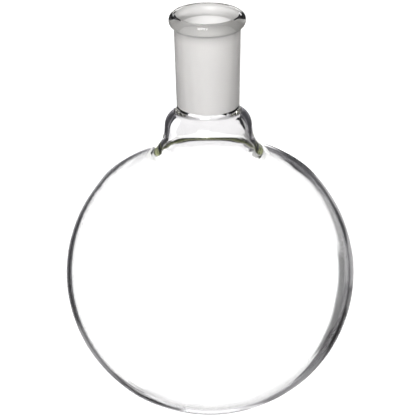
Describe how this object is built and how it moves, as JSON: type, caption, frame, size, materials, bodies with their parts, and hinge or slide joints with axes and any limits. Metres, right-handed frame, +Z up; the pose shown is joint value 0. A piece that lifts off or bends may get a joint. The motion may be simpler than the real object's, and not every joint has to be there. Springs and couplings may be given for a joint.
{
  "type": "round bottom flask",
  "caption": "Clear round bottom flask with a short flared neck, a tapered ground-glass socket and a beaded rim, for laboratory glassware.",
  "frame": {"origin": "lowest point of the bulb's outside, on the flask's axis", "axes": "+Z up along the flask's axis, out of the mouth; X and Y are free, because the flask is round"},
  "size_m": [0.132, 0.132, 0.191],
  "materials": {
    "clear_glass": "colourless fire-polished borosilicate glass",
    "thick_glass": "fire-polished borosilicate glass, olive green where it is thick",
    "ground_glass": "ground to a fine white frost on the inside, glossy outside"
  },
  "bodies": {
    "root": {"bulb": "clear_glass", "seal_ring": "thick_glass", "shoulder": "clear_glass", "joint_socket": "ground_glass", "rim_bead": "clear_glass"}
  },
  "joints": []
}
